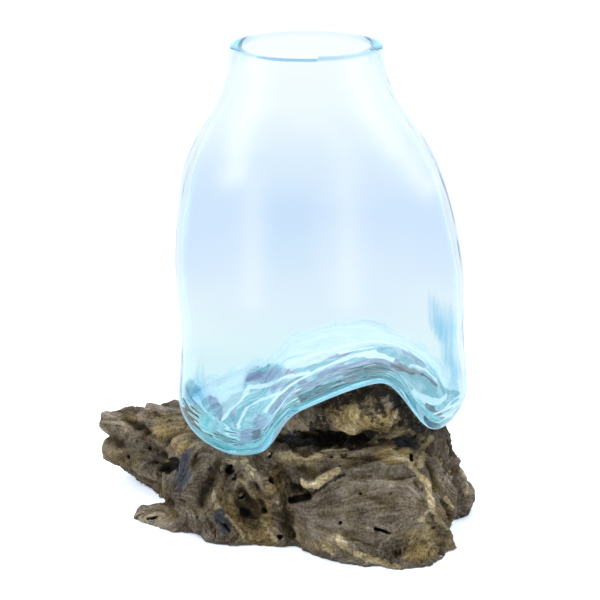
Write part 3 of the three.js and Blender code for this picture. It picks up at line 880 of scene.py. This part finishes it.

# Darker and lighter, and tanner or greyer, places: middle in the picture, half sizes, lightness and tan. The
# lightness is partly the wood's own tone and partly painted shade and painted highlight.
tones = [
    ((248, 512), (24, 26), -0.52, 0.55),
    ((222, 498), (10, 26), -0.3, 0.2),
    ((140, 446), (34, 12), -0.15, 0.1),
    ((136, 412), (34, 9), 0.42, 0.0),
    ((120, 462), (18, 9), 0.0, 0.3),
    ((160, 490), (16, 10), 0.05, 0.35),
    ((170, 512), (28, 9), 0.5, 0.0),
    ((452, 484), (18, 20), 0.3, 0.0),
    ((390, 426), (14, 10), -0.12, 0.7),
    ((352, 422), (14, 9), -0.08, 0.8),
    ((305, 424), (14, 8), -0.45, 0.1),
    ((362, 401), (30, 9), -0.5, 0.3),
    ((335, 410), (14, 9), -0.3, 0.5),
    ((310, 455), (30, 8), 0.15, -0.3),
    ((405, 442), (10, 5), 1.2, 0.0),
    ((140, 446), (30, 14), -0.16, 0.0),
    ((132, 464), (22, 8), -0.46, 0.1),
    ((200, 486), (8, 16), -0.3, 0.0),
    ((176, 470), (8, 6), -0.2, 0.0),
    ((244, 516), (18, 16), -0.12, 0.2),
    ((415, 511), (14, 17), 1.1, -0.5),
    ((424, 538), (22, 14), 0.22, 0.75),
    ((310, 458), (34, 7), 0.25, 0.7),
    ((394, 455), (22, 8), 0.42, 0.8),
    ((276, 482), (11, 14), 0.1, 0.8),
    ((262, 520), (8, 20), -0.1, 0.7),
    ((262, 540), (16, 7), 0.1, 0.8),
    ((320, 548), (24, 7), 0.0, 0.35),
    ((360, 428), (22, 8), -0.05, 0.9),
    ((390, 424), (9, 12), -0.15, 0.7),
    ((452, 450), (14, 14), -0.1, 0.2),
    ((446, 512), (12, 12), 0.0, 0.5),
    ((365, 500), (60, 30), 0.1, -0.4),
    ((168, 430), (20, 8), -0.12, 0.45),
    ((184, 448), (18, 7), -0.02, 0.35),
    ((418, 553), (17, 12), 0.35, 0.55),
]
shade = np.zeros(len(points))
tan = np.full(len(points), 0.2)
for middle, size, lightness, tanned in tones:
    weight = oval(across, down, middle, size) * visible
    shade += lightness * weight
    tan += tanned * weight
shade += unseen * 0.25 * rough(points + 900, 30, 2)
tan += unseen * 0.5 * rough(points + 950, 24, 2)
# Painted shade: the root is darker towards the floor, over its lowest 7 mm.
shade -= 0.4 * (1 - ease(points[:, 2], 0, 7))

# Colours: soft patches round lines of places in the picture, with half width and strength
patches = {
    "cream": [
        ([(428, 486), (424, 496)], 1.2, 0.6),
        ([(432, 502), (428, 512), (420, 520)], 1.6, 0.6),
        ([(430, 438), (423, 450), (420, 465)], 2.6, 0.9),
        ([(398, 434), (410, 430), (422, 438)], 2.4, 0.8),
        ([(392, 450), (404, 456), (412, 464)], 3.2, 0.8),
        ([(386, 432), (393, 420), (398, 410)], 2.2, 0.75),
        ([(352, 398), (358, 410), (356, 420)], 1.3, 0.6),
        ([(334, 420), (340, 426)], 1.6, 0.55),
        ([(300, 462), (318, 468)], 3.0, 0.5),
        ([(396, 456), (408, 460)], 4.4, 0.8),
        ([(340, 540), (352, 551), (378, 562), (396, 568)], 3.2, 0.9),
        ([(325, 548), (332, 552)], 2.0, 0.8),
        ([(426, 524), (420, 540), (434, 545)], 6.0, 0.5),
        ([(414, 532), (408, 552), (402, 562)], 2.0, 0.5),
        ([(216, 466), (224, 462), (234, 462)], 1.8, 0.8),
        ([(214, 470), (212, 480), (206, 490)], 1.2, 0.7),
        ([(268, 478), (280, 492), (289, 504)], 1.5, 0.65),
        ([(243, 462), (254, 472)], 3.0, 0.65),
        ([(248, 538), (268, 544)], 3.4, 0.45),
        ([(345, 427), (356, 431)], 3.6, 0.7),
        ([(356, 402), (360, 413)], 1.6, 0.7),
        ([(171, 427), (184, 428)], 1.3, 0.7),
        ([(464, 474), (467, 484)], 1.2, 0.6),
        ([(446, 498), (453, 509)], 2.4, 0.8),
        ([(434, 513), (440, 522), (448, 530)], 1.8, 0.8),
        ([(430, 506), (436, 516)], 1.4, 0.7),
        ([(466, 470), (468, 484), (466, 494)], 1.8, 0.6),
        ([(118, 448), (124, 454)], 1.2, 0.5),
    ],
    "char_and_shadow": [
        ([(285, 440), (310, 442), (340, 440), (368, 436)], 9.0, 0.8),
        ([(161, 467), (171, 465)], 3.4, 1.0),
        ([(292, 438), (320, 428)], 8.0, 0.75),
        ([(330, 398), (372, 392), (398, 400)], 8.0, 0.8),
        ([(376, 404), (386, 414)], 4.0, 0.75),
        ([(404, 408), (414, 422)], 5.0, 0.8),
        ([(200, 498), (206, 482), (212, 468)], 3.0, 0.65),
        ([(318, 408), (322, 420)], 5.0, 0.6),
        # Painted shadow: dark lines under and beside the pale split lips.
        ([(300, 490), (312, 494), (326, 485), (344, 474)], 1.5, 0.8),
        ([(297, 474), (299, 484)], 1.6, 0.7),
        ([(406, 470), (416, 482), (424, 492), (424, 504)], 1.0, 0.6),
        ([(438, 470), (446, 486), (452, 500)], 1.4, 0.5),
        ([(150, 404), (156, 414), (170, 420)], 2.2, 0.55),
        ([(118, 426), (134, 440), (156, 452)], 1.6, 0.5),
        ([(444, 520), (450, 516)], 2.4, 0.5),
        ([(404, 424), (424, 430)], 4.0, 0.8),
        ([(366, 408), (380, 424)], 3.6, 0.6),
        ([(326, 410), (340, 412)], 3.6, 0.55),
        ([(430, 549), (440, 550)], 3.0, 0.5),
        ([(210, 488), (216, 478)], 4.0, 0.6),
        ([(272, 466), (268, 480)], 3.0, 0.45),
        ([(240, 508), (262, 516), (252, 526)], 5.0, 0.4),
        ([(130, 424), (144, 430)], 3.0, 0.45),
        ([(458, 518), (470, 512)], 3.2, 0.6),
    ],
    "blue": [
        ([(183, 463), (179, 474), (183, 481)], 8.0, 1.0),
        ([(220, 518), (226, 528)], 4.6, 0.8),
        ([(398, 442), (412, 442)], 3.8, 0.95),
        ([(288, 436), (306, 441)], 5.0, 0.6),
        ([(206, 484), (212, 472)], 2.4, 0.5),
        ([(146, 421), (150, 426)], 1.8, 0.5),
        ([(408, 428), (420, 432)], 3.5, 0.5),
    ],
    "orange": [
        ([(289, 421), (294, 424)], 2.4, 0.55),
        ([(260, 457), (263, 460)], 2.2, 0.9),
        ([(225, 474), (229, 478)], 1.8, 0.8),
        ([(160, 422), (163, 427)], 2.0, 0.6),
        ([(170, 440), (182, 441)], 3.4, 0.5),
        ([(142, 430), (148, 436)], 1.3, 0.7),
        ([(448, 500), (454, 510)], 2.0, 0.6),
        ([(253, 505), (257, 512)], 2.0, 0.6),
        ([(176, 525), (205, 528)], 1.8, 0.7),
        ([(362, 424), (372, 430)], 2.6, 0.5),
        ([(318, 404), (334, 402)], 3.0, 0.5),
        ([(340, 418), (344, 424)], 2.0, 0.5),
    ],
}
patches["cream"] += [(line, half, strength) for line, _, _, half, strength in split_edges]
masks = {name: np.zeros(len(points)) for name in [*patches, "pit_shade"]}
uneven = rough(points + 60, 7, 2)
finely = 0.55 * noise(points / 1.9 + 13)
for name, lines in patches.items():
    for line, half, strength in lines:
        away = line_distance(points, spots(line)) + half * 0.45 * uneven + finely
        masks[name] = np.maximum(masks[name], strength * (1 - ease(away, half * 0.4, half * 1.2)))
# Painted shade: the inside of each hole is painted near black.
for line, inward, half, depth in hole_places:
    deep = [spot + inward * depth * 0.6 for spot in line]
    away = np.minimum(line_distance(points, deep), line_distance(points, line) + 1.0)
    masks["pit_shade"] = np.maximum(masks["pit_shade"], 1 - ease(away, half * 1.1, half * 1.7))

# Sides that the photo doesn't show get the same marks, spread by chance.
streaks = rough(points * np.array([0.5, 1, 1]) + 300, 18, 3)
masks["cream"] = np.maximum(masks["cream"], unseen * 0.8 * ease(streaks, 0.42, 0.6))
masks["char_and_shadow"] = np.maximum(masks["char_and_shadow"], unseen * 0.8 * ease(-streaks, 0.45, 0.7))
masks["orange"] = np.maximum(masks["orange"], unseen * 0.5 * ease(rough(points + 700, 12, 2), 0.6, 0.8))

# Painted shade and light: hollows, near and wide, are darkened, and ridges lightened as painted highlight and
# wear.
masks["cavity"] = np.clip(0.5 - field_at(hollow, points) / 3.2, 0, 1)
wide_hollow = np.clip(0.5 - field_at(broad_hollow, points, coarse * voxel) / 7.0, 0, 1)
shade += 1.2 * (0.5 - masks["cavity"]) + 0.8 * (0.5 - wide_hollow)
masks["shade"] = np.clip(shade, -0.85, 1.2)
masks["tan"] = np.clip(tan, 0, 1)
masks["calm"] = oval(across, down, *block_face) * visible
masks["grain"] = grain_of(points)
root = mesh_object("root_wood", inside_box(points, root_low, root_high), quads.tolist())
for name, values in masks.items():
    vertex_values(root, name, values)

# Materials


class Value:
    """What a node gives. Sums written with it become nodes."""

    def __init__(self, tree, socket):
        self.tree = tree
        self.socket = socket

    def __add__(self, other):
        return self.tree.math("ADD", self, other)

    def __sub__(self, other):
        return self.tree.math("SUBTRACT", self, other)

    def __rsub__(self, other):
        return self.tree.math("SUBTRACT", other, self)

    def __mul__(self, other):
        return self.tree.math("MULTIPLY", self, other)

    def __truediv__(self, other):
        return self.tree.math("DIVIDE", self, other)

    def __abs__(self):
        return self.tree.math("ABSOLUTE", self)


class Tree:
    """Short ways to add nodes to a material or to the world."""

    def __init__(self, owner):
        owner.use_nodes = True
        self.nodes = owner.node_tree.nodes
        self.links = owner.node_tree.links

    def put(self, socket, value):
        if isinstance(value, Value):
            self.links.new(value.socket, socket)
        elif socket.type == "RGBA":
            socket.default_value = (*value, 1)
        else:
            socket.default_value = value

    def add(self, kind, inputs=None, output=0, **settings):
        """A new node of a kind. Its inputs go by name or number, and one of its outputs comes back."""
        node = self.nodes.new(kind)
        for name, value in settings.items():
            setattr(node, name, value)
        for name, value in (inputs or {}).items():
            self.put(node.inputs[name], value)
        return Value(self, node.outputs[output])

    def math(self, how, *values):
        return self.add("ShaderNodeMath", dict(enumerate(values)), operation=how)

    def smooth(self, value, low, high):
        """0 up to low, 1 from high on, and a soft step between them."""
        inputs = {"Value": value, "From Min": low, "From Max": high}
        return self.add("ShaderNodeMapRange", inputs, "Result", interpolation_type="SMOOTHSTEP")

    def within(self, value, start, full, wane, end):
        """1 between full and wane, falling softly to 0 at start and end."""
        return self.smooth(value, start, full) * (1.0 - self.smooth(value, wane, end))

    def attribute(self, name):
        return self.add("ShaderNodeAttribute", output="Fac", attribute_name=name)

    def frayed(self, name, fraying, low, high, sure):
        """A mask of the mesh with its edge frayed, and nothing where the mesh has none of it."""
        mask = self.attribute(name)
        return self.smooth(mask + fraying, low, high) * self.smooth(mask, 0.02, sure)

    def place(self):
        """Where a spot lies on the object, in millimetres."""
        where = self.add("ShaderNodeTexCoord", output="Object")
        return self.add("ShaderNodeMapping", {"Vector": where, "Scale": [1 / MM] * 3}, "Vector")

    def parts(self, vector):
        node = self.nodes.new("ShaderNodeSeparateXYZ")
        self.put(node.inputs[0], vector)
        return [Value(self, output) for output in node.outputs]

    def noise(self, vector, scale, detail, roughness=0.5, distortion=0.0):
        inputs = {"Vector": vector, "Scale": scale, "Detail": detail}
        inputs |= {"Roughness": roughness, "Distortion": distortion}
        return self.add("ShaderNodeTexNoise", inputs, "Fac")

    def ramp(self, value, *stops):
        """Colours along a value: where each one is, and the colour as srgb takes it."""
        node = self.nodes.new("ShaderNodeValToRGB")
        self.put(node.inputs["Fac"], value)
        ends = node.color_ramp.elements
        while len(ends) < len(stops):
            ends.new(0.5)
        for end, (place, *colour) in zip(ends, stops):
            end.position = place
            end.color = (*srgb(*colour), 1)
        return Value(self, node.outputs["Color"])

    def blend(self, share, a, b, how="MIX"):
        return self.add("ShaderNodeMix", {0: share, 6: a, 7: b}, 2, data_type="RGBA", blend_type=how)

    def layered(self, colour, *layers):
        """A colour with others laid over it one by one, each with its share."""
        for share, layer in layers:
            colour = self.blend(share, colour, layer)
        return colour

    def bump(self, height, distance, strength, over=None):
        inputs = {"Height": height, "Distance": distance, "Strength": strength}
        if over is not None:
            inputs["Normal"] = over
        return self.add("ShaderNodeBump", inputs, "Normal")

    def ray_is(self, *kinds):
        """1 where the ray is one of these kinds, else 0."""
        found = self.add("ShaderNodeLightPath", output=f"Is {kinds[0]} Ray")
        for kind in kinds[1:]:
            other = self.add("ShaderNodeLightPath", output=f"Is {kind} Ray")
            found = self.math("MAXIMUM", found, other)
        return found


class Material(Tree):
    """A material's nodes, with its surface shader and its result."""

    def __init__(self, name):
        self.material = bpy.data.materials.new(name)
        super().__init__(self.material)
        self.surface = self.nodes["Principled BSDF"]
        self.result = self.nodes["Material Output"]

    def surface_is(self, values):
        for name, value in values.items():
            self.put(self.surface.inputs[name], value)


def srgb(r, g, b):
    """A colour as the eye reads it, 0 to 255, as the light values that Blender wants."""
    return tuple((c / 255 / 12.92) if c <= 10 else ((c / 255 + 0.055) / 1.055) ** 2.4 for c in (r, g, b))


wood = Material("weathered_root")
drawn_out = 0.09
x, y, z = wood.parts(wood.place())
fibre = {0: wood.attribute("grain"), 1: x * drawn_out, 2: (y + z) * drawn_out}
along_grain = wood.add("ShaderNodeCombineXYZ", fibre)
fine = wood.noise(along_grain, 1.25, 4, 0.65)
broad = wood.noise(along_grain, 0.3, 3, 0.55)
blotch = wood.noise(wood.place(), 0.06, 4, 0.6)
speckle = wood.noise(wood.place(), 0.75, 4, 0.65)
calmed = 0.84 - wood.attribute("calm") * 0.29
calm_lines = (fine * 0.6 + broad * 0.4 - 0.5) * calmed + 0.5
tone = calm_lines * 0.5 + blotch * 0.25 + (speckle - 0.08) * 0.3
grey = wood.ramp(tone, (0.38, 34, 27, 19), (0.46, 76, 67, 55), (0.54, 112, 104, 93), (0.64, 154, 146, 136))
olive = wood.ramp(tone, (0.38, 28, 20, 9), (0.47, 66, 54, 32), (0.56, 102, 88, 56), (0.66, 146, 130, 92))
sandy = wood.ramp(tone, (0.38, 50, 37, 19), (0.46, 98, 81, 50), (0.54, 142, 124, 84), (0.64, 184, 168, 126))
cream = wood.ramp(tone, (0.4, 94, 80, 54), (0.5, 146, 132, 100), (0.6, 198, 186, 154))
orange = wood.ramp(tone, (0.42, 62, 36, 18), (0.58, 122, 78, 42))
char_and_shadow = wood.ramp(tone, (0.4, 12, 9, 7), (0.55, 34, 26, 20), (0.7, 84, 66, 44))
blue = wood.ramp(tone, (0.4, 30, 32, 38), (0.52, 60, 64, 73), (0.64, 106, 112, 124))
cavity = wood.attribute("cavity")
ragged = (wood.noise(wood.place(), 0.4, 5, 0.7) - 0.5) * 2.4 * 0.8
blue_share = wood.frayed("blue", ragged, 0.4, 0.7, 0.2)
colour = wood.layered(
    grey,
    (wood.smooth(cavity + blotch * 0.5, 0.62, 0.98), olive),
    (wood.smooth(wood.attribute("tan") + (blotch - 0.5) * 1.2, 0.15, 0.85), sandy),
    (wood.frayed("orange", ragged, 0.5, 0.9, 0.2) * 0.8, orange),
    (wood.frayed("cream", ragged, 0.35, 0.75, 0.2), cream),
    # Charred wood, and painted shadow under the pale lips.
    (wood.frayed("char_and_shadow", ragged, 0.35, 0.8, 0.2), char_and_shadow),
    (blue_share, blue),
    # Painted shade: near black inside the holes.
    (wood.smooth(wood.attribute("pit_shade"), 0.2, 0.8), srgb(16, 11, 7)),
)
# The lightness multiplies the colour: painted shade and painted highlight, together with the wood's own
# darker and lighter tone.
colour = wood.blend(1.0, colour, wood.attribute("shade") + 1.08, "MULTIPLY")
crack = 1.0 - wood.smooth(abs(broad - 0.5), 0.0, 0.012)
crack = crack * wood.smooth(wood.noise(wood.place(), 0.09, 2), 0.48, 0.6)
colour = wood.blend(crack * 0.65, colour, srgb(26, 19, 12))
# Painted shade: the colour is darkened further in crevices.
darker = wood.blend(1.0, colour, srgb(110, 92, 72), "MULTIPLY")
colour = wood.blend(wood.smooth(cavity, 0.55, 0.95) * 0.75, colour, darker)
relief = wood.bump(fine * 0.8 + broad * 0.2 - crack * 0.4, 0.001, 0.9)
relief = wood.bump(speckle, 0.0009, 0.8, relief)
wood.surface_is({"Base Color": colour, "Roughness": 0.82 - blue_share * 0.4})
wood.surface_is({"Specular IOR Level": 0.3, "Normal": relief})
root.data.materials.append(wood.material)

glass = Material("aqua_glass")
_, _, tall = glass.parts(glass.place())
tint = glass.ramp(
    tall / rim_height,
    (0.2, 222, 249, 253),
    (0.36, 242, 251, 254),
    (0.44, 246, 252, 254),
    (0.58, 234, 243, 255),
    (0.72, 233, 243, 254),
    (0.84, 250, 254, 255),
    (0.95, 254, 255, 255),
)
floor_glass = glass.attribute("floor_glass")
edge = glass.attribute("edge_band")
rim = glass.attribute("rim_band")
uneven_streak = (glass.noise(glass.place(), 0.14, 5, 0.6, 1.2) - 0.5) * 2.4
streaky = glass.smooth(glass.attribute("streak") + uneven_streak, -0.35, 0.45)
swirl = glass.noise(glass.place(), 0.09, 3, 0.5, 2.5)
swirl_line = 1.0 - glass.smooth(abs(swirl - 0.5), 0.0, 0.018)


def torn_mask(name, raggedness=0.35):
    return glass.frayed(name, uneven_streak * raggedness, 0.3, 0.65, 0.15)


def streaked(dark, light):
    return glass.blend(streaky, srgb(*dark), srgb(*light))


# Painted refraction of the wood in lavender grey and smoke, and painted highlights in milk white, over the
# floor's aqua.
floor_tone = glass.layered(
    streaked((134, 184, 194), (180, 212, 222)),
    (torn_mask("lavender_refraction"), streaked((132, 144, 170), (166, 176, 200))),
    (torn_mask("smoke_refraction"), streaked((84, 92, 102), (126, 134, 144))),
    (swirl_line * 0.7, srgb(98, 136, 158)),
    (torn_mask("milk_highlight", 0.2), srgb(226, 242, 250)),
    (glass.attribute("pale_glass"), srgb(230, 236, 248)),
)
tint = glass.layered(
    tint,
    # Painted highlights: the streaks are left untinted white.
    (glass.attribute("highlight_streaks"), (1.0, 1.0, 1.0)),
    (floor_glass, floor_tone),
    (edge, streaked((122, 190, 198), (158, 218, 226))),
    (rim * 0.6, srgb(170, 222, 242)),
    (glass.attribute("stain"), srgb(160, 214, 242)),
    (glass.attribute("lip_line"), srgb(120, 168, 194)),
)
milky = glass.math("MAXIMUM", edge * 0.75, floor_glass * 0.7)

# Seen edge on, the wall carries light along inside it and glows a pale blue instead of darkening.
glow = glass.smooth(glass.add("ShaderNodeLayerWeight", {"Blend": 0.5}, "Facing"), 0.66, 0.9) * 0.75
glow = glass.math("MAXIMUM", glow, rim * 0.5) * (1.0 - milky)
glow_share = glow / (glow + (milky + 0.001))
glow_tone = glass.blend(rim, srgb(168, 198, 224), srgb(106, 162, 196))
# Painted glow: emission at edges seen edge on and along the lip, in the milky floor and edge band, and
# faintly in the highlight streaks.
lit = glow + milky * 0.12 + glass.attribute("highlight_streaks") * 0.05
glass.surface_is({"Base Color": glass.blend(glow, tint, (0.0, 0.0, 0.0))})
glass.surface_is({"Emission Color": glass.blend(glow_share, tint, glow_tone), "Emission Strength": lit})
glass.surface_is({"Transmission Weight": 1.0 - milky, "Roughness": 0.0, "IOR": 1.17})
absorb = glass.add("ShaderNodeVolumeAbsorption", {"Color": (0.0, 0.81, 0.95), "Density": 6.0})
glass.put(glass.result.inputs["Volume"], absorb)
vase.data.materials.append(glass.material)
vase.visible_shadow = False

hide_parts("root_base")
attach(root, "root")
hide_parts("glass_vase")
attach(vase, "vase")

# Stage: a white floor and a white surround. Through the glass and in its reflections they are plain white.

# The floor lies a hair under the root, so that the two flat faces don't lie in one plane.
floor_gap = 0.05
floor_corners = [(-4000, -4000), (4000, -4000), (4000, 6000), (-4000, 6000)]
floor_points = np.array([(*corner, -floor_gap) for corner in floor_corners])
floor = mesh_object("floor", floor_points, [(0, 1, 2, 3)], smooth=False)
white = Material("white_floor")
white.surface_is({"Base Color": (0.66, 0.70, 0.74), "Roughness": 0.9, "Specular IOR Level": 0.0})
plain = Value(white, white.surface.outputs[0])
doubled = white.add("ShaderNodeAddShader", {0: plain, 1: plain})
lift = white.add("ShaderNodeEmission", {"Color": (0.18, 0.22, 0.3), "Strength": 1.0})
lifted = white.add("ShaderNodeAddShader", {0: doubled, 1: lift})
for_eye = white.add("ShaderNodeMixShader", {0: white.ray_is("Camera"), 1: plain, 2: lifted})
pure = white.add("ShaderNodeEmission", {"Color": (1, 1, 1), "Strength": 1.0})
seen_in_glass = white.ray_is("Transmission", "Glossy")
for_glass = white.add("ShaderNodeMixShader", {0: seen_in_glass, 1: for_eye, 2: pure})
white.put(white.result.inputs["Surface"], for_glass)
floor.data.materials.append(white.material)

world = bpy.data.worlds.new("white_surround")
bpy.context.scene.world = world
sky = Tree(world)
seen = sky.ray_is("Camera", "Transmission", "Glossy")
level = sky.add("ShaderNodeMapRange", {"Value": seen, "To Min": 0.7, "To Max": 1.0}, "Result")

# Two tall, soft-edged windows of light at the sides, seen only in reflections
side, depth, rise = sky.parts(sky.add("ShaderNodeTexCoord", output="Generated"))
turn = sky.math("ARCTAN2", side, depth * -1.0)
windows = sky.within(turn, -1.9, -1.4, -1.3, -0.8) + sky.within(turn, 1.0, 1.6, 1.7, 2.3)
windows = windows * sky.within(rise, 0.0, 0.5, 0.6, 0.95) * sky.ray_is("Glossy") * 1.1
background = sky.nodes["Background"]
sky.put(background.inputs["Strength"], level + windows)
sky.put(background.inputs["Color"], (1, 1, 1))


def softbox(name, place, aim, size, power):
    data = bpy.data.lights.new(name, "AREA")
    data.shape = "RECTANGLE"
    data.size, data.size_y = size
    data.energy = power
    made = added(name, data)
    made.location = place
    made.rotation_euler = (Vector(aim) - Vector(place)).to_track_quat("-Z", "Y").to_euler()
    made.visible_glossy = False
    made.visible_transmission = False


softbox("key", (-0.75, -0.85, 1.05), (0, 0, 0.08), (0.7, 0.7), 9.0)
softbox("fill", (0.95, -0.6, 0.75), (0, 0, 0.08), (0.6, 0.8), 4.0)
softbox("top", (0.0, 0.15, 1.5), (0, 0, 0.1), (0.9, 0.9), 5.0)

camera_data = bpy.data.cameras.new("camera")
camera_data.sensor_width = 36
camera_data.lens = 36 * camera_focal / (2 * picture_centre)
camera_data.clip_start = 0.05
camera_data.clip_end = 50
camera = added("camera", camera_data)
camera.location = Vector((camera_place + to_row) * MM)
camera.rotation_euler = Vector(view_forward).to_track_quat("-Z", "Y").to_euler()
bpy.context.scene.camera = camera

bpy.context.scene.view_settings.view_transform = "Standard"
